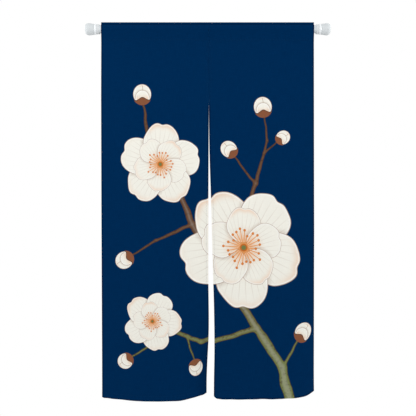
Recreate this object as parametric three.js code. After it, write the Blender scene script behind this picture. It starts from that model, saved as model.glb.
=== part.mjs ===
// A split doorway curtain of two cotton panels, sewn together above the slit and hung by a stitched
// rod pocket from a white tension rod. Millimetres, +Z up. The origin is the centre of the left end
// pad's face. X runs along the rod, and the printed side of the cloth looks along -Y.
import * as THREE from 'three';

// Cloth
const LAYER = 1.2; // one layer of cloth with its nap
const PANEL_GAP = 0.3; // between the panels along their centre seam
const SIDE_HEM = 10;
const BOTTOM_HEM = 24;
const HEM_STEP = 1; // distance over which a hem's extra layer begins
const SEAM_X = 490; // the centre seam, and the slit below it
const SLIT_HEAD = -286; // Z where the seam ends

// Rod pocket and heading, as heights above the rod's axis
const TOP_FOLD = 28;
const UPPER_STITCHES = 18;
const LOWER_STITCHES = -42;
const TURNED_EDGE = -46; // where the cloth that is turned to the back ends
const POCKET_PLAY = 0.7; // between the rod and the corners of the pocket, whose flats lie closer

// Tension rod
const ROD_LENGTH = 971;
const OUTER_TUBE_R = 16;
const OUTER_TUBE_WALL = 0.7;
const OUTER_TUBE_END = 640;
const INNER_TUBE_START = 400;
const INNER_TUBE_WALL = 0.8;
const RUNNING_GAP = 0.3; // between the two tubes
const INNER_TUBE_R = OUTER_TUBE_R - OUTER_TUBE_WALL - RUNNING_GAP;
const SEAT_GAP = 0.3; // between an end fitting's pieces
const SOCKET_BOTTOM = 40; // depth of a cap's socket, from the pad's face
const TUBE_START = SOCKET_BOTTOM + SEAT_GAP;
const PAD_BACK = 36;

// The outlines of the pad and of the cap, from the pad's face along the rod
const PAD_OUTLINE = [
  { x: 0, r: 0 },
  { x: 0, r: 15 },
  { x: 1, r: 17.4 },
  { x: 3, r: 19.6 },
  { x: 6, r: 21.5 },
  { x: 10, r: 22.7 },
  { x: 15, r: 23 },
  { x: 20, r: 22.6 },
  { x: 27, r: 21.4 },
  { x: PAD_BACK - SEAT_GAP / 2, r: 20.2 },
  { x: PAD_BACK - SEAT_GAP / 2, r: 0 },
];
const CAP_OUTLINE = [
  { x: PAD_BACK + SEAT_GAP / 2, r: 0 },
  { x: PAD_BACK + SEAT_GAP / 2, r: 19.6 },
  { x: 37.4, r: 19.6 },
  { x: 37.4, r: 20.1 },
  { x: 38.2, r: 20.8 },
  { x: 41.4, r: 20.8 },
  { x: 42.2, r: 20.1 },
  { x: 42.2, r: 19.3 },
  { x: 54.8, r: 18.9 },
  { x: 56, r: 18.2 },
];
const CAP_END = CAP_OUTLINE.at(-1).x;

// Fineness of the facets
const TUBE_SIDES = 32;
const POCKET_ARC_STEP = THREE.MathUtils.degToRad(24);
const ROW_STEP = 84;
const COLUMNS_BETWEEN_HEMS = 17;

// How each panel hangs. The edges give X of its two side edges at heights below the rod, and hem is
// the height of its lower edge. Each fold stands at a share of the panel's width and reaches a share
// of it to either side. Depth and lift are what it comes to at the hem, and it fades out upwards at
// the height where it starts. A swell is round, and a curl sharpens towards the panel's edge.
const LEFT_PANEL = {
  hem: -1472,
  edges: [
    { z: TURNED_EDGE, left: 62, right: SEAM_X - PANEL_GAP / 2 },
    { z: SLIT_HEAD, left: 61.4, right: SEAM_X - PANEL_GAP / 2 },
    { z: -440, left: 61.8, right: 489 },
    { z: -960, left: 62.6, right: 487.8 },
    { z: -1240, left: 63, right: 488.4 },
    { z: -1320, left: 63.2, right: 484.6 },
    { z: -1400, left: 63.3, right: 481.4 },
    { z: -1472, left: 63.4, right: 480.6 },
  ],
  folds: [
    { kind: 'swell', at: 0.52, reach: 0.5, depth: -23, lift: 0, starts: -250 },
    { kind: 'swell', at: 0.2, reach: 0.12, depth: 3, lift: 0, starts: -500 },
    { kind: 'curl', at: 0, reach: 0.33, depth: 12, lift: 3, starts: -500 },
    { kind: 'curl', at: 1, reach: 0.28, depth: 46, lift: 13.5, starts: -1100 },
    { kind: 'curl', at: 0, reach: 0.02, depth: 0, lift: 4.5, starts: -1430 },
  ],
};
const RIGHT_PANEL = {
  hem: -1465.5,
  edges: [
    { z: TURNED_EDGE, left: SEAM_X + PANEL_GAP / 2, right: 907.2 },
    { z: SLIT_HEAD, left: SEAM_X + PANEL_GAP / 2, right: 907.4 },
    { z: -440, left: 492.8, right: 907.6 },
    { z: -760, left: 501, right: 908.2 },
    { z: -960, left: 506, right: 909.2 },
    { z: -1120, left: 510.4, right: 911.6 },
    { z: -1280, left: 511.9, right: 913.8 },
    { z: -1400, left: 509.9, right: 914.8 },
    { z: -1472, left: 509.8, right: 915.4 },
  ],
  folds: [
    { kind: 'swell', at: 0.3, reach: 0.44, depth: -19, lift: 0, starts: -250 },
    { kind: 'swell', at: 0.66, reach: 0.18, depth: -8, lift: 0, starts: -300 },
    { kind: 'swell', at: 0.47, reach: 0.12, depth: 3, lift: 0, starts: -400 },
    { kind: 'curl', at: 1, reach: 0.25, depth: 43, lift: 14, starts: -760 },
    { kind: 'curl', at: 0, reach: 0.04, depth: 4, lift: 8, starts: -1380 },
  ],
};

const finish = (color, roughness, metalness = 0) =>
  new THREE.MeshStandardMaterial({ color, roughness, metalness });
const NAVY_COTTON = finish(0x002a52, 0.92);
const WHITE_ENAMEL = finish(0xeceeee, 0.3);
const WHITE_PLASTIC = finish(0xe6e8e9, 0.4);
const PALE_RUBBER = finish(0xdfe2e4, 0.65);

// The point where a line from `from` touches a circle about the rod's axis, on the side of `side`.
function tangentPoint(from, radius, side) {
  const towards = Math.atan2(from.z, from.y);
  const turn = Math.acos(radius / Math.hypot(from.y, from.z));
  const touches = [towards + turn, towards - turn].map((angle) => ({
    y: radius * Math.cos(angle),
    z: radius * Math.sin(angle),
  }));
  return touches[0].y * side > touches[1].y * side ? touches[0] : touches[1];
}

// Half of a loop hung on the rod, from the lower point up one side of the rod to the upper point.
function halfLoop(lower, upper, radius, side) {
  const low = tangentPoint(lower, radius, side);
  const high = tangentPoint(upper, radius, side);
  const start = Math.atan2(low.z, side * low.y);
  const sweep = Math.atan2(high.z, side * high.y) - start;
  const steps = Math.round(sweep / POCKET_ARC_STEP);
  const arc = Array.from({ length: steps + 1 }, (_, i) => {
    const angle = start + (sweep * i) / steps;
    return { y: side * radius * Math.cos(angle), z: radius * Math.sin(angle) };
  });
  return [lower, ...arc, upper];
}

// The section across the rod: the outside of pocket and heading, and the hole that holds the rod.
function pocketSection() {
  const holeRadius = OUTER_TUBE_R + POCKET_PLAY;
  const outside = (side) =>
    halfLoop(
      { y: side * LAYER, z: LOWER_STITCHES },
      { y: side * LAYER, z: UPPER_STITCHES + LAYER },
      holeRadius + LAYER,
      side,
    );
  const hole = (side) =>
    halfLoop({ y: 0, z: LOWER_STITCHES }, { y: 0, z: UPPER_STITCHES }, holeRadius, side);
  const fold = [-1, -0.5, 0, 0.5, 1].map((turn) => ({
    y: LAYER * Math.sin((turn * Math.PI) / 2),
    z: TOP_FOLD - LAYER + LAYER * Math.cos((turn * Math.PI) / 2),
  }));
  const turnedEdge = { y: LAYER, z: TURNED_EDGE };
  return {
    outline: [...outside(-1), ...fold, ...outside(1).reverse(), turnedEdge],
    hole: [...hole(-1), ...hole(1).reverse().slice(1, -1)],
  };
}

// Heights of the rows of points down the sheet, with a step where the bottom hem begins.
function rowHeights(hem) {
  const first = TURNED_EDGE - HEM_STEP;
  const last = hem + BOTTOM_HEM + HEM_STEP;
  const steps = Math.round((first - last) / ROW_STEP);
  const even = Array.from({ length: steps + 1 }, (_, i) => first + ((last - first) * i) / steps);
  return [TURNED_EDGE, ...even, hem + BOTTOM_HEM, hem];
}

// Shares of the panel's width where its columns of points stand: the side hems and their steps, and
// columns between them that stand closer towards the edges.
function columnShares(width) {
  const inner = (SIDE_HEM + HEM_STEP) / width;
  const between = Array.from({ length: COLUMNS_BETWEEN_HEMS + 1 }, (_, i) => {
    const even = i / COLUMNS_BETWEEN_HEMS;
    const drawn = even - (0.5 * Math.sin(2 * Math.PI * even)) / (2 * Math.PI);
    return inner + (1 - 2 * inner) * drawn;
  });
  const hem = SIDE_HEM / width;
  return [0, hem, ...between, 1 - hem, 1];
}

// A side edge's X at a height, read from the panel's table.
function edgeAt(panel, edge, z) {
  const below = panel.edges.findIndex((row) => row.z <= z);
  if (below < 0) return panel.edges.at(-1)[edge];
  if (below === 0) return panel.edges[0][edge];
  const upper = panel.edges[below - 1];
  const lower = panel.edges[below];
  return THREE.MathUtils.mapLinear(z, upper.z, lower.z, upper[edge], lower[edge]);
}

// How far the sheet stands behind the rod's axis at a place, and how far it is lifted there.
function foldsAt(panel, share, z) {
  let depth = 0;
  let lift = 0;
  for (const fold of panel.folds) {
    const away = Math.min(1, Math.abs(share - fold.at) / fold.reach);
    const across = fold.kind === 'curl' ? (1 - away) ** 2 : Math.cos((away * Math.PI) / 2) ** 2;
    const down = THREE.MathUtils.smoothstep(fold.starts - z, 0, fold.starts - panel.hem);
    depth += fold.depth * across * down;
    lift += fold.lift * across * down;
  }
  return { depth, lift };
}

// X of every column at one height. The cloth keeps its width, so it draws in where it is folded.
function columnsAt(panel, shares, width, z) {
  const run = [0];
  for (let i = 1; i < shares.length; i++) {
    const cloth = (shares[i] - shares[i - 1]) * width;
    const back = foldsAt(panel, shares[i], z).depth - foldsAt(panel, shares[i - 1], z).depth;
    run.push(run[i - 1] + Math.sqrt(cloth ** 2 - back ** 2));
  }
  const left = edgeAt(panel, 'left', z);
  const right = edgeAt(panel, 'right', z);
  return run.map((done) => left + ((right - left) * done) / run.at(-1));
}

// A panel is one closed solid. Every column is a loop up the front, over the heading and down the
// back, with a second loop round the rod's hole, and the loops are joined from edge to edge.
function panelGeometry(panel) {
  const { outline, hole } = pocketSection();
  const rows = rowHeights(panel.hem);
  const width = panel.edges[0].right - panel.edges[0].left;
  const shares = columnShares(width);
  const rowX = rows.map((z) => columnsAt(panel, shares, width, z));
  const backStart = rows.length + outline.length;
  const loopLength = backStart + rows.length;
  const columnLength = loopLength + hole.length;
  const positions = [];
  const triangles = [];

  const isSideHem = (share) => Math.min(share, 1 - share) * width <= SIDE_HEM;
  const sheetPoint = (column, row, front) => {
    const z = rows[row];
    const hemmed = z <= panel.hem + BOTTOM_HEM || isSideHem(shares[column]);
    const { depth, lift } = foldsAt(panel, shares[column], z);
    const back = hemmed ? LAYER : 0;
    // A side hem starts just under the turned edge, so that the two don't share a point.
    const tuck = !front && hemmed && row === 0 ? HEM_STEP / 2 : 0;
    positions.push(rowX[row][column], depth + (front ? -LAYER : back), z + lift - tuck);
  };
  shares.forEach((share, column) => {
    const x = panel.edges[0].left + share * width;
    for (let row = rows.length - 1; row >= 0; row--) sheetPoint(column, row, true);
    for (const point of outline) positions.push(x, point.y, point.z);
    for (let row = 0; row < rows.length; row++) sheetPoint(column, row, false);
    for (const point of hole) positions.push(x, point.y, point.z);
  });

  const joinColumns = (offset, count, outside) => {
    for (let column = 0; column < shares.length - 1; column++) {
      for (let k = 0; k < count; k++) {
        const a = column * columnLength + offset + k;
        const b = column * columnLength + offset + ((k + 1) % count);
        const [low, high] = outside ? [a, b] : [b, a];
        triangles.push(low, low + columnLength, high + columnLength);
        triangles.push(low, high + columnLength, high);
      }
    }
  };
  joinColumns(0, loopLength, true);
  joinColumns(loopLength, hole.length, false);

  // The two side edges: the pocket's section with its hole, and the sheet below it.
  const closeEdge = (column, facesRight) => {
    const first = column * columnLength;
    const add = (a, b, c) => {
      const corners = facesRight ? [a, b, c] : [a, c, b];
      triangles.push(...corners.map((corner) => first + corner));
    };
    const flat = (point) => {
      const at = (first + point) * 3;
      return new THREE.Vector2(positions[at + 1], positions[at + 2]);
    };
    const ring = Array.from({ length: outline.length + 2 }, (_, i) => rows.length - 1 + i);
    const inner = Array.from({ length: hole.length }, (_, i) => loopLength + i);
    const all = [...ring, ...inner];
    const faces = THREE.ShapeUtils.triangulateShape(ring.map(flat), [inner.map(flat)]);
    for (const [a, b, c] of faces) add(all[a], all[b], all[c]);
    for (let row = 0; row < rows.length - 1; row++) {
      const front = rows.length - 1 - row;
      const back = backStart + row;
      add(front, front - 1, back);
      add(front - 1, back + 1, back);
    }
  };
  closeEdge(0, false);
  closeEdge(shares.length - 1, true);

  const geometry = new THREE.BufferGeometry();
  geometry.setAttribute('position', new THREE.Float32BufferAttribute(positions, 3));
  geometry.setIndex(triangles);
  geometry.computeVertexNormals();
  return geometry;
}

// A piece turned about the X axis from its outline, which starts on the axis or closes on itself.
function turned(outline) {
  const closed = outline[0].r > 0 ? [...outline, outline[0]] : outline;
  const profile = closed.map((point) => new THREE.Vector2(point.r, point.x));
  return new THREE.LatheGeometry(profile, TUBE_SIDES).rotateZ(-Math.PI / 2);
}

const tubeGeometry = (start, end, radius, wall) =>
  turned([
    { x: start, r: radius },
    { x: end, r: radius },
    { x: end, r: radius - wall },
    { x: start, r: radius - wall },
  ]);

function capGeometry(tubeRadius) {
  const socketRadius = tubeRadius + SEAT_GAP;
  return turned([
    ...CAP_OUTLINE,
    { x: CAP_END, r: socketRadius },
    { x: SOCKET_BOTTOM, r: socketRadius },
    { x: SOCKET_BOTTOM, r: 0 },
  ]);
}

function piece(name, geometry, material) {
  const mesh = new THREE.Mesh(geometry, material);
  mesh.name = name;
  return mesh;
}

// An end fitting is made as the left one, and turned round for the right end.
function endFitting(side, tubeRadius) {
  const group = new THREE.Group();
  group.add(piece(`${side}_pad`, turned(PAD_OUTLINE), PALE_RUBBER));
  group.add(piece(`${side}_cap`, capGeometry(tubeRadius), WHITE_PLASTIC));
  if (side === 'right') {
    group.position.x = ROD_LENGTH;
    group.rotation.z = Math.PI;
  }
  return group;
}

function tensionRod() {
  const outer = tubeGeometry(TUBE_START, OUTER_TUBE_END, OUTER_TUBE_R, OUTER_TUBE_WALL);
  const inner = tubeGeometry(INNER_TUBE_START, ROD_LENGTH - TUBE_START, INNER_TUBE_R, INNER_TUBE_WALL);
  const group = new THREE.Group();
  group.add(
    piece('outer_tube', outer, WHITE_ENAMEL),
    piece('inner_tube', inner, WHITE_ENAMEL),
    endFitting('left', OUTER_TUBE_R),
    endFitting('right', INNER_TUBE_R),
  );
  return group;
}

const curtain = new THREE.Group();
curtain.add(
  tensionRod(),
  piece('left_panel', panelGeometry(LEFT_PANEL), NAVY_COTTON),
  piece('right_panel', panelGeometry(RIGHT_PANEL), NAVY_COTTON),
);

export default curtain;
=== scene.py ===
import math
from collections import namedtuple

import bpy
import numpy as np
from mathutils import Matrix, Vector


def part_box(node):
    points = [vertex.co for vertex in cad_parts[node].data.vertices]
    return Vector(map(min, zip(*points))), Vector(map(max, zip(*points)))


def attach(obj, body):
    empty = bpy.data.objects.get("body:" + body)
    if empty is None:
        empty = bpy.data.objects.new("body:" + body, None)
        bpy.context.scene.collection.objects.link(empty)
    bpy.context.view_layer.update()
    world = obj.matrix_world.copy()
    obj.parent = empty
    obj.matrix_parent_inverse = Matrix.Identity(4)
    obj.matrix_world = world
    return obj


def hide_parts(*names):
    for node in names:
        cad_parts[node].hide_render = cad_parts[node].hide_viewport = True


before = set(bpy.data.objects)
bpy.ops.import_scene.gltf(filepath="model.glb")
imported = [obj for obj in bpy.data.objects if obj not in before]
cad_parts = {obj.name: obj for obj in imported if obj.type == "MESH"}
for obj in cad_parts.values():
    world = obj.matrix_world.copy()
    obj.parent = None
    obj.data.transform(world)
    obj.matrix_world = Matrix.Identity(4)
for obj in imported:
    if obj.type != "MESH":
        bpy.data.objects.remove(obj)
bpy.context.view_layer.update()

MM = 0.001

# The cloth. Its thin sheet lies inside the layers of the solid.
SHEET = 0.6 * MM
LAYER_MIDDLE = 0.6 * MM  # from the middle of doubled cloth to the middle of one layer
FACE = LAYER_MIDDLE + SHEET / 2  # from the middle of doubled cloth to its face

# Heights above the rod's axis, in the pocket and the heading
TOP_FOLD = 28 * MM
UPPER_STITCHES = 18 * MM
LOWER_STITCHES = -42 * MM
TURNED_EDGE = -46 * MM
POCKET_R = 17.3 * MM
POCKET_GATHER = 2.5 * MM  # how far the pocket's belly draws the cloth in along the rod

# Hems, with their lines of stitches as distances from the folded edge
SIDE_HEM = 10 * MM
SIDE_STITCHES = 8 * MM
BOTTOM_HEM = 24 * MM
HEM_STITCHES = 21 * MM

# Centre seam, and the slit below it
SEAM_X = 490 * MM
SLIT_HEAD = -286 * MM

# A side hem, from where the sheet begins to turn, round the edge, to its end behind the sheet
HEM_FRONT = FACE
HEM_TURN = np.radians([0, 45, 90, 135, 180])
HEM_BEHIND = np.array([2, 5, 8, 10]) * MM

# The fineness of the cloth's mesh
ROW = 6 * MM
COLUMN = 5 * MM
WIDTH_STEPS = 240  # in which a row's drawing in is worked out

# How far the cloth's soft unevenness stands out
LONG_WAVES = 0.9 * MM
STREAKS = 0.35 * MM
PUCKERS = 0.25 * MM

# How each panel hangs, as in the solids: X of its side edges at heights below the rod, and folds
# that stand at a share of its width and grow from where they start down to the hem. Folds with
# no depth only raise or lower the hem by a few millimetres.
Edge = namedtuple("Edge", "z left right")
Fold = namedtuple("Fold", "kind at reach depth lift starts")
Panel = namedtuple("Panel", "name hem edges folds")

LEFT = Panel(
    "left_panel",
    -1472 * MM,
    [
        Edge(-46, 62, 490),
        Edge(-286, 61.4, 490),
        Edge(-330, 61.5, 489.85),
        Edge(-440, 61.8, 489.2),
        Edge(-960, 62.6, 487.8),
        Edge(-1240, 63, 488.4),
        Edge(-1320, 63.2, 484.6),
        Edge(-1400, 63.3, 481.4),
        Edge(-1472, 63.4, 480.6),
    ],
    [
        Fold("swell", 0.52, 0.5, -23, 0, -250),
        Fold("swell", 0.2, 0.12, 3, 0, -500),
        Fold("curl", 0, 0.33, 12, 3, -500),
        Fold("curl", 1, 0.28, 46, 13.5, -1100),
        Fold("curl", 0, 0.02, 0, 4.5, -1430),
        Fold("swell", 0.83, 0.14, 0, 4.6, -1380),
        Fold("swell", 0.6, 0.2, 0, 1, -1380),
        Fold("swell", 0.05, 0.06, 0, 1.2, -1380),
        Fold("swell", 0.91, 0.06, 0, 1.4, -1380),
    ],
)
RIGHT = Panel(
    "right_panel",
    -1465.5 * MM,
    [
        Edge(-46, 490, 907.2),
        Edge(-286, 490, 907.4),
        Edge(-330, 490.2, 907.45),
        Edge(-440, 491.3, 907.6),
        Edge(-760, 501, 908.2),
        Edge(-960, 506, 909.2),
        Edge(-1120, 510.4, 911.6),
        Edge(-1280, 511.9, 913.8),
        Edge(-1400, 509.9, 914.8),
        Edge(-1472, 509.8, 915.4),
    ],
    [
        Fold("swell", 0.3, 0.44, -19, 0, -250),
        Fold("swell", 0.66, 0.18, -8, 0, -300),
        Fold("swell", 0.47, 0.12, 3, 0, -400),
        Fold("curl", 1, 0.25, 43, 14, -760),
        Fold("curl", 0, 0.04, 4, 8, -1380),
        Fold("swell", 0.09, 0.1, 0, -1.9, -1380),
        Fold("swell", 0.32, 0.13, 0, 1.2, -1380),
        Fold("swell", 0.53, 0.1, 0, -1.8, -1380),
        Fold("swell", 0.69, 0.07, 0, 1.2, -1380),
        Fold("swell", 0.96, 0.08, 0, 2.4, -1380),
    ],
)


# How the cloth hangs


def smooth_step(value, start, end):
    t = np.clip((value - start) / (end - start), 0, 1)
    return t * t * (3 - 2 * t)


def edge_x(panel, side, z):
    """X of a side edge at heights z, on a smooth line through the panel's table."""
    heights = np.array([-edge.z for edge in panel.edges]) * MM
    places = np.array([getattr(edge, side) for edge in panel.edges]) * MM
    slopes = np.gradient(places, heights)
    at = np.clip(-z, heights[0], heights[-1])
    row = np.clip(np.searchsorted(heights, at, side="right") - 1, 0, len(heights) - 2)
    span = heights[row + 1] - heights[row]
    t = (at - heights[row]) / span
    rise = places[row + 1] - places[row]
    bend = (slopes[row] * span - rise) * (1 - t) - (slopes[row + 1] * span - rise) * t
    x = places[row] + rise * t + t * (1 - t) * bend
    if side == "right" and panel is LEFT:
        x = np.minimum(x, SEAM_X)
    if side == "left" and panel is RIGHT:
        x = np.maximum(x, SEAM_X)
    return x


def creases(share, z, width):
    """Soft unevenness of the hanging cloth: waves and streaks that wander a little on their way
    down and begin under the pocket, and small puckers at the pocket's turned edge."""
    x = share * width
    down = -z
    free = smooth_step(down, 50 * MM, 350 * MM)
    waves = np.sin(x * 41 + 0.7 * np.sin(down * 2.1)) * np.sin(down * 1.3 + 0.4)
    streaks = np.sin(x * 97 + 1.1 * np.sin(down * 3.7) + 2)
    puckers = np.sin(x * 760) * np.exp(-np.abs(down + TURNED_EDGE) / (18 * MM))
    return free * (LONG_WAVES * waves + STREAKS * streaks) + PUCKERS * puckers


def folds_at(panel, share, z):
    """Depth behind the rod's axis, and lift, of the sheet at shares of the width and heights z."""
    depth = np.zeros(np.broadcast(share, z).shape)
    lift = depth.copy()
    for fold in panel.folds:
        away = np.minimum(1, np.abs(share - fold.at) / fold.reach)
        across = (1 - away) ** 2 if fold.kind == "curl" else np.cos(away * np.pi / 2) ** 2
        down = smooth_step(-z, -fold.starts * MM, -panel.hem)
        depth += fold.depth * MM * across * down
        lift += fold.lift * MM * across * down
    return depth, lift


def panel_width(panel):
    return (panel.edges[0].right - panel.edges[0].left) * MM


def sheet_points(panel, share, z, off_y, off_z=0.0):
    """Places on the hanging sheet at rows of heights z, each row with its own shares of the width.

    The cloth keeps its width, so each row draws in where it is folded."""
    width = panel_width(panel)
    fine = np.linspace(0, 1, WIDTH_STEPS + 1)[None, :]
    depth, _ = folds_at(panel, fine, z[:, None])
    step = width / WIDTH_STEPS
    runs = np.sqrt(step**2 - np.clip(np.diff(depth, axis=1) ** 2, 0, 0.9 * step**2))
    run = np.concatenate([np.zeros((len(z), 1)), np.cumsum(runs, axis=1)], axis=1)
    run /= run[:, -1:]
    left = edge_x(panel, "left", z)
    right = edge_x(panel, "right", z)
    reach = np.stack([np.interp(s, fine[0], r) for s, r in zip(share, run)])
    x = left[:, None] + (right - left)[:, None] * reach
    depth, lift = folds_at(panel, share, z[:, None])
    y = depth + creases(share, z[:, None], width) + off_y
    return np.stack([x, y, z[:, None] + lift + off_z], axis=-1)


def tangent_angle(y, z, radius):
    """Angle on the rod's circle where a line from (y, z), with y at or behind the axis, touches it."""
    towards = math.atan2(z, y)
    turn = math.acos(radius / math.hypot(y, z))
    return towards + turn if z < 0 else towards - turn


def pocket_path():
    """The cloth's middle line across the rod, from the turned edge at the back to the front seam."""
    neck_foot = UPPER_STITCHES + 1.2 * MM
    low = tangent_angle(LAYER_MIDDLE, LOWER_STITCHES, POCKET_R)
    high = tangent_angle(LAYER_MIDDLE, neck_foot, POCKET_R)
    arc = [(POCKET_R * math.cos(a), POCKET_R * math.sin(a)) for a in np.linspace(low, high, 19)]
    neck = [(LAYER_MIDDLE, z) for z in np.linspace(neck_foot, TOP_FOLD - 1 * MM, 4)]
    back = [(LAYER_MIDDLE, TURNED_EDGE), (LAYER_MIDDLE, LOWER_STITCHES)] + arc + neck
    centre = TOP_FOLD - FACE
    fold = [
        (LAYER_MIDDLE * math.sin(a), centre + LAYER_MIDDLE * math.cos(a))
        for a in np.radians([60, 30, 0])
    ]
    front = [(-y, z) for y, z in reversed(back[1:] + fold[:2])]
    return back + fold + front


# Meshes


def new_object(name, vertices, faces, uvs=None):
    mesh = bpy.data.meshes.new(name)
    mesh.from_pydata(vertices, [], faces)
    if uvs is not None:
        layer = mesh.uv_layers.new(name="Flat")
        corners = np.empty(len(mesh.loops), dtype=np.int32)
        mesh.loops.foreach_get("vertex_index", corners)
        layer.uv.foreach_set("vector", np.asarray(uvs, dtype=np.float32)[corners].ravel())
    mesh.polygons.foreach_set("use_smooth", [True] * len(mesh.polygons))
    mesh.update()
    made = bpy.data.objects.new(name, mesh)
    bpy.context.scene.collection.objects.link(made)
    return made


def grid_faces(first, rows, columns):
    for row in range(rows - 1):
        for column in range(columns - 1):
            a = first + row * columns + column
            yield (a, a + columns, a + columns + 1, a + 1)


def pocket_points(panel, path, even):
    """The pocket and heading, drawn in along the rod towards the centre seam where they belly out."""
    bulge = (np.array(path)[:, :1] / POCKET_R) ** 2
    from_seam = 1 - even if panel is LEFT else -even
    pocket = np.empty((len(path), len(even), 3))
    pocket[..., 0] = panel.edges[0].left * MM + even * panel_width(panel) + POCKET_GATHER * bulge * from_seam
    pocket[..., 1:] = np.array(path)[:, None, :]
    return pocket


def flat_points(across, run):
    """Flat places of a grid of points: across the curtain, and down along the cloth from its top fold."""
    return np.stack(np.broadcast_arrays(across[None, :], -run[:, None]), -1).reshape(-1, 2)


def panel_object(panel, art_left):
    """One panel: the pocket and heading, the hanging sheet, its bottom hem and its side hems.

    Also gives the length run along the cloth at each row of points, from the top fold at the front."""
    width = panel_width(panel)
    even = np.linspace(0, 1, round(width / COLUMN) + 1)
    hemmed = HEM_FRONT / width
    inner = hemmed + even * (1 - 2 * hemmed)

    def rows(shares, heights, off_y, off_z=0.0):
        return sheet_points(panel, np.tile(shares, (len(heights), 1)), heights, off_y, off_z)

    hem_top = panel.hem + BOTTOM_HEM
    hem_fold = panel.hem + FACE
    below_pocket = TURNED_EDGE - 0.5 * MM
    free_end = hem_top + 0.6 * MM
    free = np.linspace(below_pocket - 0.1 * MM, free_end, round((below_pocket - free_end) / ROW) + 1)
    hem_down = np.linspace(free_end - 0.1 * MM, hem_fold, 5)
    hem_up = np.linspace(hem_fold, hem_top, 5)
    turns = [
        rows(even, np.array([hem_fold]), -LAYER_MIDDLE * math.cos(a), -LAYER_MIDDLE * math.sin(a))
        for a in np.radians([30, 60, 90, 120, 150])
    ]
    path = pocket_path()
    under_pocket = rows(even, np.array([below_pocket]), -LAYER_MIDDLE)
    sheet = [under_pocket, rows(inner, free, -LAYER_MIDDLE), rows(even, hem_down, -LAYER_MIDDLE)]
    upper = pocket_points(panel, path, even)
    body = np.concatenate([upper, *sheet, *turns, rows(even, hem_up, LAYER_MIDDLE)])
    steps = np.linalg.norm(np.diff(body[:, len(even) // 2], axis=0), axis=1)
    run = np.concatenate([[0], np.cumsum(steps)])
    run -= run[len(path) - 1] - (TOP_FOLD - LOWER_STITCHES)
    vertices = [body.reshape(-1, 3)]
    uvs = [flat_points(even * width + art_left, run)]
    faces = list(grid_faces(0, len(body), len(even)))

    # Each side hem turns the cloth round its edge and back behind the sheet.
    round_edge = [(HEM_FRONT - LAYER_MIDDLE * math.sin(a), -LAYER_MIDDLE * math.cos(a)) for a in HEM_TURN]
    behind = [(reach, LAYER_MIDDLE) for reach in HEM_BEHIND]
    run_down = run[len(path) + 1 : len(path) + 1 + len(free)]
    past = np.cumsum([0.0] + [LAYER_MIDDLE * np.pi / 4] * 4 + list(np.diff([HEM_FRONT, *HEM_BEHIND])))
    for side in (0, 1):
        first = sum(len(block) for block in vertices)
        columns = [
            rows(np.array([abs(side - reach / width)]), free, off_y) for reach, off_y in round_edge + behind
        ]
        strip = np.concatenate(columns, axis=1)
        vertices.append(strip.reshape(-1, 3))
        uvs.append(flat_points((width + past if side else -past) + art_left, run_down))
        strip_faces = grid_faces(first, len(free), strip.shape[1])
        faces += [face if side else face[::-1] for face in strip_faces]

    made = new_object(f"{panel.name}_cloth", np.concatenate(vertices), faces, np.concatenate(uvs))
    weld = made.modifiers.new("Weld", "WELD")
    weld.merge_threshold = 0.02 * MM
    thick = made.modifiers.new("Thickness", "SOLIDIFY")
    thick.thickness = SHEET
    thick.offset = 0
    thick.material_offset = 1
    thick.material_offset_rim = 1
    return made, run


# Stitches

STITCH = 2.9 * MM
STITCH_STEP = 3.6 * MM
THREAD_R = 0.24 * MM
FRONT = np.array([0.0, -1.0, 0.0])
BACK = -FRONT
FACES = ((FRONT, -FACE), (BACK, FACE))  # the way out of each face, and its Y
LINE_END = 4 * MM  # from the end of a line of stitches to the cloth's edge

# The centre seam's slanting stitches, and the bar of stitches at the slit's head
OVERCAST_STEP = 4.2 * MM
OVERCAST_SLANT = 1.6 * MM
OVERCAST_REACH = 2.2 * MM
BAR_STEP = 0.62 * MM
BAR_REACH = 4 * MM

# The pocket's belly along the seam: round near the rod's axis, and falling away in a line beyond
BELLY_ROUND = 15 * MM
BELLY_FALLS_FROM = 6 * MM
BELLY_BELOW = 42 * MM
BELLY_ABOVE = 19 * MM


def stitches(name, runs):
    """Stitches as one mesh. Each run is a line of points, with a stitch from each to the next, and
    the way out of the cloth."""
    share = np.array([0.0, 0.3, 0.7, 1.0])
    radius = np.array([0.4, 1.0, 1.0, 0.4]) * THREAD_R
    proud = np.array([-0.5, 0.45, 0.45, -0.5]) * THREAD_R
    sides = np.radians([45, 135, 225, 315])
    starts, ends, outs = [], [], []
    for points, out in runs:
        along = points[1:] - points[:-1]
        length = np.linalg.norm(along, axis=1, keepdims=True)
        gap = along / length * (length - length * STITCH / STITCH_STEP) / 2
        starts.append(points[:-1] + gap)
        ends.append(points[1:] - gap)
        outs.append(np.broadcast_to(out, along.shape))
    start = np.concatenate(starts)
    end = np.concatenate(ends)
    out = np.concatenate(outs)
    along = end - start
    along /= np.linalg.norm(along, axis=1, keepdims=True)
    aside = np.cross(along, out)
    aside /= np.linalg.norm(aside, axis=1, keepdims=True)
    up = np.cross(aside, along)
    centre = start[:, None] + (end - start)[:, None] * share[None, :, None]
    centre = centre + up[:, None] * proud[None, :, None]
    ring = (
        aside[:, None, None] * np.cos(sides)[None, None, :, None]
        + up[:, None, None] * np.sin(sides)[None, None, :, None]
    )
    points = centre[:, :, None] + ring * radius[None, :, None, None]
    one = []
    for k in range(3):
        for s in range(4):
            t = (s + 1) % 4
            one.append((4 * k + s, 4 * k + t, 4 * k + 4 + t, 4 * k + 4 + s))
    one += [(3, 2, 1, 0), (12, 13, 14, 15)]
    faces = (np.array(one)[None] + 16 * np.arange(len(start))[:, None, None]).reshape(-1, 4)
    return new_object(name, points.reshape(-1, 3), faces.tolist())


def spaced(start, end, step=STITCH_STEP):
    return np.linspace(start, end, max(2, round(abs(end - start) / step) + 1))


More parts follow.
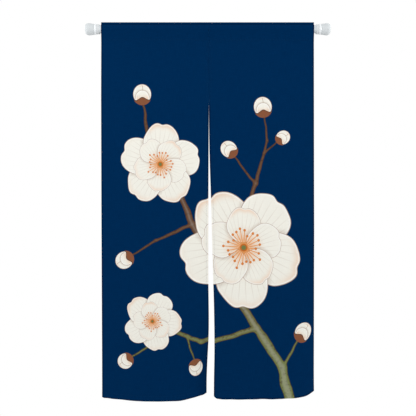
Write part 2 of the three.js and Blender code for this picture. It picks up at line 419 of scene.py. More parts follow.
def sewn_lines(panel):
    """The lines of stitches on one panel, on its front and on its back."""
    width = panel_width(panel)
    runs = []
    share = spaced(LINE_END, width - LINE_END) / width
    hem_line = np.array([panel.hem + HEM_STITCHES])
    start = panel.edges[0].left * MM
    for out, face in FACES:
        runs.append((sheet_points(panel, share[None, :], hem_line, face)[0], out))
        for z, proud in ((UPPER_STITCHES, 0.15 * MM), (LOWER_STITCHES, 0.05 * MM)):
            line = np.empty((share.size, 3))
            line[:, 0] = start + share * width
            line[:, 1] = face + out[1] * proud
            line[:, 2] = z
            runs.append((line, out))
        heights = spaced(TURNED_EDGE - LINE_END, panel.hem + BOTTOM_HEM + 1 * MM)
        for at in (SIDE_STITCHES / width, 1 - SIDE_STITCHES / width):
            column = np.full((len(heights), 1), at)
            runs.append((sheet_points(panel, column, heights, face)[:, 0], out))
    return runs


def seam_face(z):
    """About how far the cloth's face stands out at height z of the centre seam."""
    if abs(z) >= -LOWER_STITCHES:
        return FACE
    belly = POCKET_R + SHEET / 2
    if abs(z) < BELLY_ROUND:
        return max(FACE, math.sqrt(belly**2 - z * z))
    narrowing = (abs(z) - BELLY_FALLS_FROM) / (BELLY_BELOW if z < 0 else BELLY_ABOVE)
    return max(FACE, belly * (1 - narrowing))


def centre_seam():
    """The overcast stitches that join the panels, and the bar of stitches at the slit's head."""
    runs = []
    for out, face in FACES:
        for z in np.arange(16 * MM, SLIT_HEAD + 8 * MM, -OVERCAST_STEP):
            y = out[1] * seam_face(z)
            ends = [[SEAM_X - OVERCAST_REACH, y, z], [SEAM_X + OVERCAST_REACH, y, z - OVERCAST_SLANT]]
            runs.append((np.array(ends), out))
        for z in np.arange(SLIT_HEAD + 7 * MM, SLIT_HEAD - 3 * MM, -BAR_STEP):
            ends = np.array([[SEAM_X - BAR_REACH, face, z], [SEAM_X + BAR_REACH, face, z]])
            runs.append((ends, out))
    return stitches("centre_seam_stitches", runs)


# The rod, with the end fittings' outlines as distances from the pad's face and radii

ROUND = 96
OUTER_TUBE_R = 16 * MM
OUTER_TUBE_WALL = 0.7 * MM
INNER_TUBE_R = 15 * MM
INNER_TUBE_WALL = 0.8 * MM
ROD_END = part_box("right_pad")[1][0]
PAD_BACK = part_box("left_pad")[1][0]
CAP_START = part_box("left_cap")[0][0]
CAP_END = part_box("left_cap")[1][0]
SOCKET = 40 * MM
SOCKET_GAP = 0.3 * MM
HIGHLIGHT_BAND = (36 * MM, 44.4 * MM)  # where a cap is polished, and where its lighter colour is a painted highlight


def lathe(name, outline):
    """A piece turned about the rod's axis from (x, radius) pairs, closed at the axis or on itself."""
    angles = np.linspace(0, 2 * np.pi, ROUND, endpoint=False)
    vertices, rings, faces = [], [], []
    for x, r in outline:
        first = len(vertices)
        if r == 0:
            rings.append([first] * ROUND)
            vertices.append((x, 0.0, 0.0))
        else:
            rings.append(range(first, first + ROUND))
            vertices += [(x, r * math.cos(a), r * math.sin(a)) for a in angles]
    pairs = list(zip(rings, rings[1:]))
    if outline[0][1] > 0:
        pairs.append((rings[-1], rings[0]))
    for one, two in pairs:
        for k in range(ROUND):
            n = (k + 1) % ROUND
            corners = (one[k], one[n], two[n], two[k])
            faces.append(tuple(dict.fromkeys(corners)))  # a face at the axis has one corner there
    made = new_object(name, vertices, faces)
    made.data.set_sharp_from_angle(angle=math.radians(38))
    return made


def rounded(corners, soft):
    """An outline with a short arc of the given softness at each corner between its two ends."""
    made = [corners[0]]
    for three in zip(corners, corners[1:], corners[2:]):
        before, here, after = np.array(three)
        to_last, to_next = before - here, after - here
        cut = min(soft, 0.45 * np.linalg.norm(to_last), 0.45 * np.linalg.norm(to_next))
        one = here + to_last / np.linalg.norm(to_last) * cut
        two = here + to_next / np.linalg.norm(to_next) * cut
        for t in (0.0, 0.25, 0.5, 0.75, 1.0):
            point = (1 - t) ** 2 * one + 2 * t * (1 - t) * here + t**2 * two
            made.append(tuple(point.tolist()))
    return [*made, corners[-1]]


def pad_outline():
    """A pad with three shallow rings on its face, from the middle of the face round to its back."""
    face = [(0, 0), (0, 4)]
    for r in (6.5, 9.5, 12.5):
        face += [(0, r - 0.9), (0.5, r - 0.5), (0.5, r + 0.5), (0, r + 0.9)]
    rim = [(0, 15), (1, 17.4), (3, 19.6), (6, 21.5), (10, 22.7), (15, 23), (20, 22.6), (27, 21.4)]
    points = [(x * MM, r * MM) for x, r in face + rim + [(34.6, 20.45)]]
    return rounded(points + [(PAD_BACK, 20 * MM), (PAD_BACK, 0)], 0.9 * MM)


def cap_outline(tube_r):
    """A cap with its flange, ring, step and groove, and the socket that holds the tube."""
    socket_r = tube_r + SOCKET_GAP
    flange_and_ring = [(37.1, 19.8), (37.4, 20.2), (38.2, 20.8), (41.4, 20.8), (42.2, 20.2), (42.6, 19.7)]
    step_and_groove = [(44.4, 19.6), (44.4, 19.2), (47.2, 19.2), (47.5, 18.8), (48.3, 18.8), (48.6, 19.1)]
    outside = [(x * MM, r * MM) for x, r in flange_and_ring + step_and_groove + [(54.8, 18.9)]]
    outside = [(CAP_START, 0), (CAP_START, 19.7 * MM), *outside, (CAP_END, 18.2 * MM)]
    return rounded(outside + [(CAP_END, socket_r), (SOCKET, socket_r), (SOCKET, 0)], 0.45 * MM)


def tube_outline(start, end, radius, wall):
    soft = 0.25 * MM
    outside = [(start, radius - soft), (start + soft, radius), (end - soft, radius), (end, radius - soft)]
    return outside + [(end, radius - wall), (start, radius - wall)]


def turned_round(outline):
    """The left fitting's outline as the right one's, still with its faces outwards."""
    return [(ROD_END - x, r) for x, r in reversed(outline)]


# Materials


def feed(socket, value):
    links = socket.id_data.links
    if isinstance(value, Value):
        links.new(value.socket, socket)
    elif isinstance(value, bpy.types.NodeSocket):
        links.new(value, socket)
    else:
        socket.default_value = value


def feed_inputs(node, inputs):
    for label, value in inputs.items():
        feed(node.inputs[label], value)


def add_node(tree, kind, inputs, **settings):
    """A new shader node with its settings, and its inputs fed by name or number."""
    node = tree.nodes.new(f"ShaderNode{kind}")
    for setting, value in settings.items():
        setattr(node, setting, value)
    feed_inputs(node, inputs)
    return node


class Value:
    """A number in a node tree, which plain arithmetic extends with maths nodes."""

    def __init__(self, socket):
        self.socket = socket
        self.tree = socket.id_data

    def do(self, operation, *others):
        numbers = dict(enumerate((self, *others)))
        return Value(add_node(self.tree, "Math", numbers, operation=operation).outputs[0])

    def __add__(self, other):
        return self.do("ADD", other)

    def __sub__(self, other):
        return self.do("SUBTRACT", other)

    def __mul__(self, other):
        return self.do("MULTIPLY", other)

    def __truediv__(self, other):
        return self.do("DIVIDE", other)

    __radd__ = __add__
    __rmul__ = __mul__

    def __neg__(self):
        return self.do("MULTIPLY", -1.0)

    def __rsub__(self, other):
        return (-self) + other

    def __rtruediv__(self, other):
        return self.do("POWER", -1.0) * other

    def root(self):
        return self.do("SQRT")

    def size(self):
        return self.do("ABSOLUTE")

    def sine(self):
        return self.do("SINE")

    def cosine(self):
        return self.do("COSINE")

    def angle_to(self, across):
        """The angle of the point with this along X and the other along Y."""
        return across.do("ARCTAN2", self)

    def least(self, other):
        return self.do("MINIMUM", other)

    def most(self, other):
        return self.do("MAXIMUM", other)

    def above(self, start, end):
        """0 at start and 1 at end, eased between them."""
        reach = {"Value": self, "From Min": start, "From Max": end}
        node = add_node(self.tree, "MapRange", reach, interpolation_type="SMOOTHSTEP")
        return Value(node.outputs[0])


def colour(red, green, blue):
    """A colour given as the 0 to 255 values of a screen, as a shader's linear colour."""
    linear = [((c / 255 + 0.055) / 1.055) ** 2.4 if c > 10 else c / 255 / 12.92 for c in (red, green, blue)]
    return (*linear, 1.0)


def mix(tree, factor, one, two):
    return add_node(tree, "Mix", {0: factor, 6: one, 7: two}, data_type="RGBA").outputs[2]


class Group:
    """A node group under construction, with its inputs as Values or sockets by name."""

    KINDS = {"value": "NodeSocketFloat", "vector": "NodeSocketVector", "colour": "NodeSocketColor"}

    def __init__(self, name, inputs, outputs):
        self.tree = bpy.data.node_groups.new(name, "ShaderNodeTree")
        for label, kind in inputs.items():
            self.tree.interface.new_socket(label, in_out="INPUT", socket_type=self.KINDS[kind])
        for label, kind in outputs.items():
            self.tree.interface.new_socket(label, in_out="OUTPUT", socket_type=self.KINDS[kind])
        self.inner = self.tree.nodes.new("NodeGroupInput")

    def value(self, label):
        return Value(self.inner.outputs[label])

    def socket(self, label):
        return self.inner.outputs[label]

    def finish(self, **results):
        feed_inputs(self.tree.nodes.new("NodeGroupOutput"), results)
        return self.tree


def place(tree, group, **inputs):
    """A copy of a group in a tree, with its inputs fed by name."""
    return add_node(tree, "Group", inputs, node_tree=group)


def output(node, label):
    return Value(node.outputs[label])


def split(tree, vector):
    node = add_node(tree, "SeparateXYZ", {0: vector})
    return output(node, "X"), output(node, "Y")


def vector_step(tree, operation, one, two=(0, 0, 0), scale=1.0, result="Vector"):
    inputs = {0: one, 1: two, 3: scale}
    return add_node(tree, "VectorMath", inputs, operation=operation).outputs[result]


def noise_texture(tree, where, scale, detail=2.0):
    return add_node(tree, "TexNoise", {"Vector": where, "Scale": scale, "Detail": detail})


def bump(tree, height, distance, strength):
    return add_node(tree, "Bump", {"Height": height, "Distance": distance, "Strength": strength})


NAVY = colour(0, 42, 83)
NAVY_DEEP = colour(0, 36, 74)
# Painted shade along the cloth's folded edges
NAVY_FOLD_SHADE = colour(0, 22, 54)
CREAM = colour(241, 239, 229)
PETAL_WHITE = colour(248, 247, 242)
BLUSH = colour(231, 176, 130)
INK = colour(158, 126, 100)
GOLD = colour(226, 142, 58)
GOLD_DEEP = colour(196, 104, 38)
BARK = colour(104, 74, 54)
BARK_DARK = colour(66, 46, 36)
OLIVE = colour(116, 124, 74)
SEPAL = colour(134, 84, 58)
THREAD_DARK = colour(4, 44, 86)
THREAD_LIGHT = colour(14, 64, 112)
REVERSE_PRINT = 0.72  # how strongly the print shows on the back

PETALS = 5
SECTOR = 2 * math.pi / PETALS
STAMENS = 24
STAMEN_STEP = 2 * math.pi / STAMENS

# A petal's middle, size and notch, and the inner ring of petals, as shares of the flower's radius
PETAL_MIDDLE = 0.56
PETAL_R = 0.44
NOTCH = 0.05
INNER_RING = 0.66


def petal_outline_group():
    """How far a point lies inside a round petal with a notch, in units of the flower's radius."""
    g = Group("Petal outline", {"Far": "value", "Angle": "value", "Wave": "value"}, {"Inside": "value"})
    far, angle, wave = g.value("Far"), g.value("Angle"), g.value("Wave")
    along = far * angle.cosine() - PETAL_MIDDLE
    across = far * angle.sine()
    around = along.angle_to(across)
    out = (along * along + across * across).root()
    notch = (around * around * -22.0).do("EXPONENT") * NOTCH
    wobble = (around * 3.0 + wave).sine() * 0.013 + (around * 5.0 + wave * 2.0).sine() * 0.008
    return g.finish(Inside=wobble - notch - out + PETAL_R)


def petal_colour_group():
    """The colours of a petal: blush at its foot and tip, fine veins, a pale rim and a thin outline."""
    inputs = {"Far": "value", "Angle": "value", "Wave": "value", "Inside": "value"}
    g = Group("Petal colours", inputs, {"Colour": "colour"})
    tree = g.tree
    far, angle, wave, inside = (g.value(label) for label in inputs)
    shade = mix(tree, far.above(0.6, 0.1) * 0.7, CREAM, BLUSH)
    tip = inside.above(0.2, 0.0) * far.above(0.7, 1.0) * (wave.sine() * 0.32 + 0.3)
    shade = mix(tree, tip, shade, BLUSH)
    fan = (far * angle.sine()) / (far * angle.cosine() + 0.24)
    vein = ((fan * 8.5 + (wave + far * 3.0).sine() * 0.15).do("FRACT") - 0.5).size().above(0.1, 0.0)
    vein = vein * far.above(0.98, 0.55) * inside.above(0.0, 0.1) * 0.28
    shade = mix(tree, vein, shade, INK)
    shade = mix(tree, inside.above(0.05, 0.014) * 0.85, shade, PETAL_WHITE)
    shade = mix(tree, inside.above(0.0125, 0.0085) * 0.8, shade, INK)
    return g.finish(Colour=shade)


def petal_ring_group(outline, colours):
    """Overlapping petals about a flower's centre. Each lies over the one before it, so a point
    needs only the two petals on either side of it."""
    g = Group("Petal ring", {"Far": "value", "Angle": "value", "Below": "colour"}, {"Colour": "colour"})
    tree = g.tree
    far, below = g.value("Far"), g.socket("Below")
    sectors = g.value("Angle") / SECTOR
    number = sectors.do("FLOOR")
    from_low = (sectors - number) * SECTOR
    from_top = from_low - SECTOR
    wave = number * (2 * SECTOR) + 0.6
    next_wave = wave + 2 * SECTOR
    low = output(place(tree, outline, Far=far, Angle=from_low, Wave=wave), "Inside")
    top = output(place(tree, outline, Far=far, Angle=from_top, Wave=next_wave), "Inside")
    on_top = top.do("GREATER_THAN", 0.0)
    shadow = top.above(-0.09, 0.0) * (1.0 - on_top) * 0.28
    angle = from_low - on_top * SECTOR
    wave = wave + on_top * (2 * SECTOR)
    inside = low + (top - low) * on_top
    petal = place(tree, colours, Far=far, Angle=angle, Wave=wave, Inside=inside)
    shade = mix(tree, shadow, petal.outputs["Colour"], INK)
    return g.finish(Colour=mix(tree, inside.above(-0.003, 0.003), below, shade))


def blossom_group(ring):
    """An open blossom of two rings of petals, with its stamens, painted over what is below it."""
    g = Group("Blossom", {"Spot": "vector", "Below": "colour"}, {"Colour": "colour"})
    tree = g.tree
    far = Value(vector_step(tree, "LENGTH", g.socket("Spot"), result="Value"))
    x, y = split(tree, g.socket("Spot"))
    angle = x.angle_to(y)
    outer = place(tree, ring, Far=far, Angle=angle, Below=g.socket("Below"))
    between = angle - SECTOR / 2
    inner = place(tree, ring, Far=far / INNER_RING, Angle=between, Below=outer.outputs["Colour"])
    painted = mix(tree, far.above(0.2, 0.05) * 0.85, inner.outputs["Colour"], BLUSH)
    number = (angle / STAMEN_STEP).do("ROUND")
    aside = (angle - number * STAMEN_STEP) * far
    length = (number * (STAMEN_STEP * 5)).sine() * 0.045 + (number * (STAMEN_STEP * 9)).sine() * 0.03 + 0.27
    beyond = far - length
    thread = aside.size().above(0.0075, 0.004) * beyond.above(0.0, -0.01)
    painted = mix(tree, thread, painted, GOLD)
    tip = (beyond * beyond + aside * aside).root()
    painted = mix(tree, tip.above(0.023, 0.019), painted, GOLD_DEEP)
    painted = mix(tree, tip.above(0.016, 0.01), painted, GOLD)
    painted = mix(tree, far.above(0.066, 0.058), painted, GOLD_DEEP)
    painted = mix(tree, far.above(0.05, 0.03), painted, OLIVE)
    return g.finish(Colour=painted)


def bud_group():
    """A round bud of three petals with its sepals, painted over what is below it."""
    g = Group("Bud", {"Spot": "vector", "Below": "colour"}, {"Colour": "colour"})
    tree = g.tree
    along, across = split(tree, g.socket("Spot"))
    inside = 1.0 - (along * along * 0.82 + across * across).root()
    low = along + 0.38
    front = 0.8 - (low * low + across * across * 1.15).root()
    behind = front.above(0.0, -0.02)
    fork = (across - (along * 2.6).sine() * 0.13 + 0.04).size()
    shade = mix(tree, along.above(0.1, -0.9) * 0.8, CREAM, BLUSH)
    shade = mix(tree, along.above(0.72, 1.0) * behind * 0.5, shade, BLUSH)
    shade = mix(tree, front.above(-0.26, 0.0) * behind * 0.34, shade, INK)
    shade = mix(tree, fork.above(0.035, 0.015) * behind * 0.8, shade, INK)
    shade = mix(tree, front.size().above(0.035, 0.015) * 0.8, shade, INK)
    rim = front.above(0.0, 0.02) * front.above(0.14, 0.05)
    shade = mix(tree, rim.most(inside.above(0.16, 0.08) * 0.8), shade, PETAL_WHITE)
    shade = mix(tree, inside.above(0.055, 0.035) * 0.8, shade, INK)
    painted = mix(tree, inside.above(-0.01, 0.01), g.socket("Below"), shade)
    scallop = (across * 4.4).cosine() * 0.16 - 0.5 - along
    cup = (1.09 - (along * along * 0.78 + across * across).root()).above(0.0, 0.03)
    painted = mix(tree, scallop.above(0.0, 0.03) * cup, painted, SEPAL)
    painted = mix(tree, scallop.size().above(0.05, 0.02) * cup, painted, BARK_DARK)
    return g.finish(Colour=painted)


def nearest_group():
    """A point's spot on the nearest of several motifs, one motif at a time, in the motif's own units."""
    motif = {"Spot": "vector", "Centre": "vector", "Radius": "value", "Turn": "value"}
    found = {"Best": "vector", "Least": "value"}
    g = Group("Nearest motif", motif | found, found)
    tree = g.tree
    off = vector_step(tree, "SUBTRACT", g.socket("Spot"), g.socket("Centre"))
    scaled = vector_step(tree, "SCALE", off, scale=1.0 / g.value("Radius"))
    turn_back = {"Vector": scaled, "Angle": -g.value("Turn")}
    own = add_node(tree, "VectorRotate", turn_back, rotation_type="Z_AXIS").outputs[0]
    far = Value(vector_step(tree, "LENGTH", own, result="Value"))
    nearer = far.do("LESS_THAN", g.value("Least"))
    chosen = add_node(tree, "Mix", {0: nearer, 4: g.socket("Best"), 5: own}, data_type="VECTOR")
    return g.finish(Best=chosen.outputs[1], Least=far.least(g.value("Least")))


def twig_group():
    """A length of branch between two points, narrowing from one to the other."""
    places = {"Spot": "vector", "Start": "vector", "End": "vector"}
    sizes = {"Start Radius": "value", "End Radius": "value"}
    g = Group("Twig", places | sizes | {"Inside": "value"}, {"Inside": "value"})
    tree = g.tree
    run = vector_step(tree, "SUBTRACT", g.socket("End"), g.socket("Start"))
    off = vector_step(tree, "SUBTRACT", g.socket("Spot"), g.socket("Start"))
    reach = Value(vector_step(tree, "DOT_PRODUCT", off, run, result="Value"))
    whole = Value(vector_step(tree, "DOT_PRODUCT", run, run, result="Value"))
    share = (reach / whole).most(0.0).least(1.0)
    along = vector_step(tree, "SCALE", run, scale=share)
    gap = Value(vector_step(tree, "DISTANCE", off, along, result="Value"))
    narrower = g.value("End Radius") - g.value("Start Radius")
    inside = narrower * share + g.value("Start Radius") - gap
    return g.finish(Inside=inside.do("SMOOTH_MAX", g.value("Inside"), 0.012))


# The printed branch. Each limb is a line of points: metres across the curtain, metres down from its
# top fold, and the limb's radius there. The flowers have their places and sizes in the same way.
BRANCH = [
    [
        (0.735, 1.56, 0.022),
        (0.70, 1.37, 0.019),
        (0.60, 1.21, 0.0165),
        (0.46, 1.00, 0.014),
        (0.365, 0.80, 0.012),
        (0.30, 0.66, 0.010),
        (0.19, 0.47, 0.007),
        (0.165, 0.32, 0.004),
    ],
    [(0.60, 1.21, 0.011), (0.40, 1.275, 0.009), (0.28, 1.22, 0.007)],
    [(0.28, 1.22, 0.0065), (0.115, 1.33, 0.0035)],
    [(0.46, 1.00, 0.009), (0.61, 0.64, 0.0075), (0.66, 0.47, 0.0045), (0.645, 0.37, 0.003)],
    [(0.61, 0.64, 0.0055), (0.525, 0.53, 0.0035)],
    [(0.365, 0.80, 0.0075), (0.22, 0.865, 0.0055), (0.115, 0.93, 0.003)],
    [(0.70, 1.37, 0.0075), (0.775, 1.26, 0.004)],
    [(0.645, 0.52, 0.0045), (0.70, 0.475, 0.003)],
    [(0.345, 1.25, 0.005), (0.37, 1.35, 0.003)],
]
Flower = namedtuple("Flower", "x y radius turn")
BLOSSOMS = [
    Flower(0.555, 0.895, 0.245, 0.35),
    Flower(0.235, 0.565, 0.165, 1.0),
    Flower(0.205, 1.185, 0.118, 0.1),
]
BUDS = [
    Flower(0.163, 0.286, 0.036, -1.62),
    Flower(0.642, 0.336, 0.036, -1.68),
    Flower(0.505, 0.505, 0.032, -2.3),
    Flower(0.092, 0.945, 0.034, 2.6),
    Flower(0.095, 1.345, 0.03, 2.5),
    Flower(0.793, 1.235, 0.036, -0.9),
    Flower(0.377, 1.378, 0.03, 1.35),
    Flower(0.722, 0.458, 0.027, -0.65),
]
OUT_OF_REACH = 50.0  # a distance past any motif's, in its own radii


def nearest_spot(tree, nearest, spot, flowers):
    best, least = spot, OUT_OF_REACH
    for flower in flowers:
        motif = {"Centre": (flower.x, flower.y, 0), "Radius": flower.radius, "Turn": flower.turn}
        node = place(tree, nearest, Spot=spot, Best=best, Least=least, **motif)
        best, least = node.outputs["Best"], node.outputs["Least"]
    return best


def print_group():
    """The printed branch of blossoms, painted over the dyed ground."""
    g = Group("Blossom print", {"Flat": "vector", "Ground": "colour"}, {"Colour": "colour"})
    tree = g.tree
    noise = noise_texture(tree, g.socket("Flat"), 13, 1.5)
    centred = vector_step(tree, "SUBTRACT", noise.outputs["Color"], (0.5, 0.5, 0.5))
    drift = vector_step(tree, "MULTIPLY", centred, (0.018, 0.018, 0.0))
    spot = vector_step(tree, "MULTIPLY", g.socket("Flat"), (1.0, -1.0, 0.0))
    waving = vector_step(tree, "ADD", spot, drift)
    twig = twig_group()
    inside = -1.0
    for limb in BRANCH:
        for (x, y, radius), (end_x, end_y, end_radius) in zip(limb, limb[1:]):
            ends = {"Start": (x, y, 0), "End": (end_x, end_y, 0)}
            sizes = {"Start Radius": radius, "End Radius": end_radius}
            inside = output(place(tree, twig, Spot=waving, Inside=inside, **ends, **sizes), "Inside")
    _, down = split(tree, waving)
    bark = mix(tree, down.above(0.85, 1.4), BARK, OLIVE)
    rough = output(noise_texture(tree, g.socket("Flat"), 90), "Fac")
    bark = mix(tree, rough.above(0.52, 0.68) * 0.5, bark, BARK_DARK)
    bark = mix(tree, inside.above(0.0032, 0.0016) * 0.8, bark, BARK_DARK)
    bark = mix(tree, inside.above(0.004, 0.016) * 0.16, bark, CREAM)
    painted = mix(tree, inside.above(-0.0006, 0.0006), g.socket("Ground"), bark)
    nearest = nearest_group()
    on_bud = nearest_spot(tree, nearest, spot, BUDS)
    painted = place(tree, bud_group(), Spot=on_bud, Below=painted).outputs["Colour"]
    slight = vector_step(tree, "SCALE", drift, scale=0.35)
    on_blossom = nearest_spot(tree, nearest, vector_step(tree, "ADD", spot, slight), BLOSSOMS)
    ring = petal_ring_group(petal_outline_group(), petal_colour_group())
    painted = place(tree, blossom_group(ring), Spot=on_blossom, Below=painted).outputs["Colour"]
    return g.finish(Colour=painted)


def weave_group():
    """A plain weave in flat metres: its height, and faint slubs along warp and weft."""
    g = Group("Plain weave", {"Flat": "vector", "Pitch": "value"}, {"Height": "value", "Slubs": "value"})
    tree = g.tree
    x, y = split(tree, g.socket("Flat"))
    turn = math.pi / g.value("Pitch")
    warp = (x * turn).sine()
    weft = (y * turn).sine()
    over = (x * turn * 0.5 + y * turn * 0.5).cosine() * (x * turn * 0.5 - y * turn * 0.5).cosine()
    height = warp * warp * 0.5 + weft * weft * 0.5 + over * 0.5
    slubs = []
    for stretch in ((900.0, 28.0, 1.0), (24.0, 900.0, 1.0)):
        stretched = add_node(tree, "Mapping", {"Vector": g.socket("Flat"), "Scale": stretch})
        slubs.append(output(noise_texture(tree, stretched.outputs[0], 1.0), "Fac"))
    return g.finish(Height=height, Slubs=(slubs[0] + slubs[1]) * 0.5)


# The cloth's relief at its seams. How deep a dent is, and how much doubled cloth stands out, are
# shares of the relief's depth.
DENT = 0.4
DENT_WIDTH = 1.5 * MM
PUCKER_WIDTH = 7 * MM
PUCKER_STEP = 9 * MM
DOUBLED = 0.45
RELIEF_DEPTH = 0.8 * MM

# The plain weave
THREAD_PITCH = 0.55 * MM
THREAD_RELIEF = 0.12 * MM


def sewn_relief_group():
    """What the sewing does to the cloth's face: the hems' double layers, dents along the stitches,
    and small puckers beside them. Also a mask near folded edges, for painted shade along them."""
    g = Group("Sewn relief", {"Flat": "vector"}, {"Height": "value", "Fold": "value"})
    tree = g.tree
    x, y = split(tree, g.socket("Flat"))
    left_width = panel_width(LEFT)
    on_right = x.do("GREATER_THAN", left_width)
    left_hem = TOP_FOLD - LEFT.hem - HEM_STITCHES
    above_hem = y + left_hem + on_right * (LEFT.hem - RIGHT.hem)
    from_seam = (x - left_width).size()
    from_outside = x.size().least((x - left_width - panel_width(RIGHT)).size())
    from_edge = from_seam.least(from_outside)
    from_side = from_edge - SIDE_STITCHES
    below_pocket = y + (TOP_FOLD - LOWER_STITCHES)
    doubled = above_hem.above(4.5 * MM, 2.5 * MM).most(from_side.above(3 * MM, 1.5 * MM))
    uneven = output(noise_texture(tree, g.socket("Flat"), 55), "Fac") * 9.0
    height = doubled * DOUBLED
    for from_line, along, strength in ((above_hem, x, 0.32), (below_pocket, x, 0.4), (from_side, y, 0.22)):
        dent = (from_line * from_line * (-1 / DENT_WIDTH**2)).do("EXPONENT")
        near = (from_line * from_line * (-1 / PUCKER_WIDTH**2)).do("EXPONENT")
        puckers = (along * (2 * math.pi / PUCKER_STEP) + uneven).sine()
        height = height - dent * DENT + puckers * near * strength
    # Painted shade: a mask that darkens the dyed ground near folded edges and along the open slit
    from_fold = from_outside.least(y.size()).least((above_hem + HEM_STITCHES).size())
    open_slit = (y + (TOP_FOLD - SLIT_HEAD)).above(0.0, -35 * MM)
    fold = from_fold.above(8 * MM, 3.5 * MM).most(from_seam.above(8 * MM, 3.5 * MM) * open_slit)
    return g.finish(Height=height, Fold=fold)


def new_material(name):
    made = bpy.data.materials.new(name)
    made.use_nodes = True
    shader = made.node_tree.nodes["Principled BSDF"]
    return made, made.node_tree, shader


def cloth_material(name, weave, sewing, printed, print_strength):
    """Dyed cotton in plain weave with its print. The reverse shows the print more faintly."""
    made, tree, shader = new_material(name)
    flat = add_node(tree, "UVMap", {}, uv_map="Flat").outputs[0]
    woven = place(tree, weave, Flat=flat, Pitch=THREAD_PITCH)
    slubs = output(woven, "Slubs")
    ground = mix(tree, slubs.above(0.42, 0.62) * 0.75, NAVY, NAVY_DEEP)
    seams = place(tree, sewing, Flat=flat)
    # Painted shade: the ground darkens near folded edges and along the open slit
    ground = mix(tree, output(seams, "Fold") * 0.55, ground, NAVY_FOLD_SHADE)
    art = place(tree, printed, Flat=flat, Ground=ground)
    painted = mix(tree, print_strength, ground, art.outputs["Colour"])
    painted = mix(tree, slubs.above(0.36, 0.66) * 0.06, painted, NAVY_DEEP)
    relief = bump(tree, seams.outputs["Height"], RELIEF_DEPTH, 0.9)
    threads = bump(tree, output(woven, "Height") + slubs * 1.4, THREAD_RELIEF, 0.55)
    feed(threads.inputs["Normal"], relief.outputs[0])
    feed_inputs(shader, {"Base Color": painted, "Normal": threads.outputs[0]})
    feed_inputs(shader, {"Roughness": 0.93, "Specular IOR Level": 0.01})
    return made


def thread_material():
    made, tree, shader = new_material("Navy thread")
    where = add_node(tree, "TexCoord", {}).outputs["Object"]
    twist = output(noise_texture(tree, where, 2600), "Fac")
    shade = mix(tree, twist.above(0.35, 0.65), THREAD_DARK, THREAD_LIGHT)
    feed_inputs(shader, {"Base Color": shade, "Roughness": 0.7, "Specular IOR Level": 0.15})
    return made


def moulding_group():
    """Fine unevenness of a moulded or painted surface, and broad faint marks of another shade."""
    inputs = {"Place": "vector", "Grain": "value", "Colour": "colour", "Shade": "colour"}
    g = Group("Moulded surface", inputs, {"Colour": "colour", "Height": "value", "Marks": "value"})
    tree = g.tree
    fine = noise_texture(tree, g.socket("Place"), g.value("Grain"), 3.0)
    broad = noise_texture(tree, g.socket("Place"), 38)
    height = output(fine, "Fac")
    marks = output(broad, "Fac").above(0.45, 0.75)
    shade = mix(tree, marks * 0.35, g.socket("Colour"), g.socket("Shade"))
    return g.finish(Colour=shade, Height=height, Marks=marks)


# The finishes of the rod's pieces. Grain is how many fine bumps go to a metre, and depth their height.
Finish = namedtuple("Finish", "name tint shade grain depth roughness gloss")
ENAMEL = Finish("White enamel", colour(221, 227, 230), colour(211, 218, 222), 420, 0.03 * MM, 0.3, 0.5)
PLASTIC = Finish("White plastic", colour(216, 220, 222), colour(206, 211, 214), 900, 0.04 * MM, 0.42, 0.4)
# The ring's lower roughness is real polish; its lighter colour is a painted highlight.
HIGHLIGHT_RING_PLASTIC = Finish(
    "Polished white ring with painted highlight", colour(241, 245, 247), colour(234, 238, 240), 900, 0.02 * MM, 0.25, 0.5
)
RUBBER = Finish("Pale rubber", colour(212, 217, 219), colour(200, 206, 209), 1500, 0.06 * MM, 0.68, 0.25)


def rod_material(moulding, finish):
    made, tree, shader = new_material(finish.name)
    where = add_node(tree, "TexCoord", {}).outputs["Object"]
    tints = {"Colour": finish.tint, "Shade": finish.shade}
    surface = place(tree, moulding, Place=where, Grain=finish.grain, **tints)
    roughness = output(surface, "Marks") * 0.08 + finish.roughness
    relief = bump(tree, surface.outputs["Height"], finish.depth, 0.5).outputs[0]
    feed_inputs(shader, {"Base Color": surface.outputs["Colour"], "Normal": relief})
    feed_inputs(shader, {"Roughness": roughness, "Specular IOR Level": finish.gloss})
    return made


# Camera and studio

FOCUS_X = 486.4 * MM
FOCUS_Z = -710 * MM
CAMERA_DISTANCE = 2200 * MM
FRAME_WIDTH = 1653 * MM  # what the camera's frame spans at the rod's axis
SENSOR_WIDTH = 36  # as Blender wants it, in millimetres
FLOOR_Z = -1.95
FLOOR_REACH = 30
FLOOR_GREY = colour(246, 246, 246)
WHITE = (1, 1, 1, 1)
SKY_STRENGTH = 0.78

# Round lights, in metres and watts. Each stands at its place and looks at its target.
Light = namedtuple("Light", "name place target size power")
MIDDLE = (FOCUS_X, 0, FOCUS_Z)
LIGHTS = [
    Light("Key", (FOCUS_X - 0.35, -1.75, 0.35), MIDDLE, 1.3, 8),
    Light("Fill", (FOCUS_X + 1.6, -1.9, 0.3), MIDDLE, 1.6, 3),
    Light("Left side", (FOCUS_X - 1.7, -0.25, 0.05), (0, 0, 0), 0.8, 8),
    Light("Right side", (FOCUS_X + 1.7, -0.25, 0.05), (2 * FOCUS_X, 0, 0), 0.8, 8),
]


def add_camera():
    data = bpy.data.cameras.new("Camera")
    data.sensor_width = SENSOR_WIDTH
    data.lens = SENSOR_WIDTH * CAMERA_DISTANCE / FRAME_WIDTH
    camera = bpy.data.objects.new("Camera", data)
    camera.location = (FOCUS_X, -CAMERA_DISTANCE, FOCUS_Z)
    camera.rotation_euler = (math.radians(90), 0, 0)
    bpy.context.scene.collection.objects.link(camera)
    bpy.context.scene.camera = camera


def add_light(light):
    data = bpy.data.lights.new(light.name, "AREA")
    data.shape = "DISK"
    data.size = light.size
    data.energy = light.power
    lamp = bpy.data.objects.new(light.name, data)
    lamp.location = light.place
    away = np.array(light.place) - np.array(light.target)
    yaw = math.atan2(away[0], -away[1])
    pitch = math.atan2(math.hypot(away[0], away[1]), away[2])
    lamp.rotation_euler = (pitch, 0, yaw)
    lamp.visible_camera = False
    bpy.context.scene.collection.objects.link(lamp)


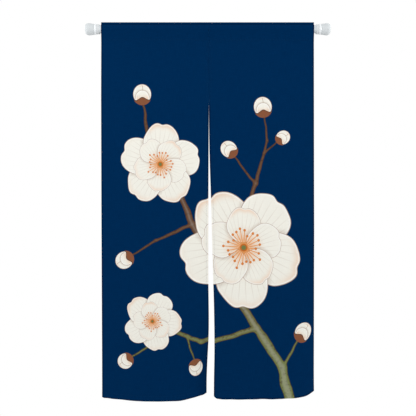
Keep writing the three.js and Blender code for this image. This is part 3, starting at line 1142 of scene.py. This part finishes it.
def white_to_camera(tree, lit, white):
    """Shows a plain white to the camera, while the rest of the scene gets the lit shader's light."""
    seen = add_node(tree, "LightPath", {}).outputs["Is Camera Ray"]
    return add_node(tree, "MixShader", {0: seen, 1: lit.outputs[0], 2: white.outputs[0]}).outputs[0]


def add_sky():
    world = bpy.data.worlds.new("Studio")
    world.use_nodes = True
    tree = world.node_tree
    sky = tree.nodes["Background"]
    feed_inputs(sky, {"Color": WHITE, "Strength": SKY_STRENGTH})
    white = add_node(tree, "Background", {"Color": WHITE})
    feed(tree.nodes["World Output"].inputs["Surface"], white_to_camera(tree, sky, white))
    bpy.context.scene.world = world


def floor_material():
    """A pale matte floor that the camera sees as white from above, and sees through from below."""
    made, tree, shader = new_material("Pale floor")
    tree.nodes.remove(shader)
    matte = add_node(tree, "BsdfDiffuse", {"Color": FLOOR_GREY})
    white = add_node(tree, "Emission", {"Color": WHITE}).outputs[0]
    clear = add_node(tree, "BsdfTransparent", {}).outputs[0]
    below = add_node(tree, "NewGeometry", {}).outputs["Backfacing"]
    seen = add_node(tree, "MixShader", {0: below, 1: white, 2: clear})
    feed(tree.nodes["Material Output"].inputs["Surface"], white_to_camera(tree, matte, seen))
    return made


def add_floor():
    reach = FLOOR_REACH
    corners = [(-reach, -reach), (reach, -reach), (reach, reach), (-reach, reach)]
    floor = new_object("floor", [(FOCUS_X + x, y, FLOOR_Z) for x, y in corners], [(0, 1, 2, 3)])
    floor.data.materials.append(floor_material())


# The pieces, dressed


def finish_piece(piece, slot, *materials):
    for material in materials:
        piece.data.materials.append(material)
    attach(piece, "root")


def dress_panels():
    weave = weave_group()
    printed = print_group()
    sewing = sewn_relief_group()
    cloth_front = cloth_material("Printed cotton", weave, sewing, printed, 1.0)
    cloth_back = cloth_material("Printed cotton reverse", weave, sewing, printed, REVERSE_PRINT)
    thread = thread_material()
    for panel, art_left in ((LEFT, 0.0), (RIGHT, panel_width(LEFT))):
        cloth, run = panel_object(panel, art_left)
        finish_piece(cloth, "navy_cotton", cloth_front, cloth_back)
        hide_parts(panel.name)
        sewn = stitches(f"{panel.name}_stitches", sewn_lines(panel))
        finish_piece(sewn, "navy_cotton", thread)
        cut = (round(panel_width(panel) + 2 * SIDE_HEM, 3), round(float(run[-1] - run[0]), 3))
    finish_piece(centre_seam(), "navy_cotton", thread)


def dress_tube(name, radius, wall, enamel):
    start, end = (corner[0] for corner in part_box(name))
    tube = lathe(f"{name}_drawn", tube_outline(start, end, radius, wall))
    finish_piece(tube, "white_enamel", enamel)
    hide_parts(name)


def dress_end(side, tube_radius, plastic, highlight_ring_plastic, rubber):
    fit = turned_round if side == "right" else list
    cap = lathe(f"{side}_cap_moulded", fit(cap_outline(tube_radius)))
    finish_piece(cap, "white_plastic", plastic, highlight_ring_plastic)
    # Faces in the band get the ring's finish, painted lighter as a highlight.
    for face in cap.data.polygons:
        from_end = face.center.x if side == "left" else ROD_END - face.center.x
        face.material_index = int(HIGHLIGHT_BAND[0] < from_end < HIGHLIGHT_BAND[1])
    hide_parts(f"{side}_cap")
    pad = lathe(f"{side}_pad_moulded", fit(pad_outline()))
    finish_piece(pad, "pale_rubber", rubber)
    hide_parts(f"{side}_pad")


def dress_rod():
    moulding = moulding_group()
    enamel = rod_material(moulding, ENAMEL)
    dress_tube("outer_tube", OUTER_TUBE_R, OUTER_TUBE_WALL, enamel)
    dress_tube("inner_tube", INNER_TUBE_R, INNER_TUBE_WALL, enamel)
    end_materials = [rod_material(moulding, finish) for finish in (PLASTIC, HIGHLIGHT_RING_PLASTIC, RUBBER)]
    dress_end("left", OUTER_TUBE_R, *end_materials)
    dress_end("right", INNER_TUBE_R, *end_materials)


bpy.context.scene.view_settings.view_transform = "Standard"
add_camera()
add_sky()
for light in LIGHTS:
    add_light(light)
add_floor()
dress_panels()
dress_rod()
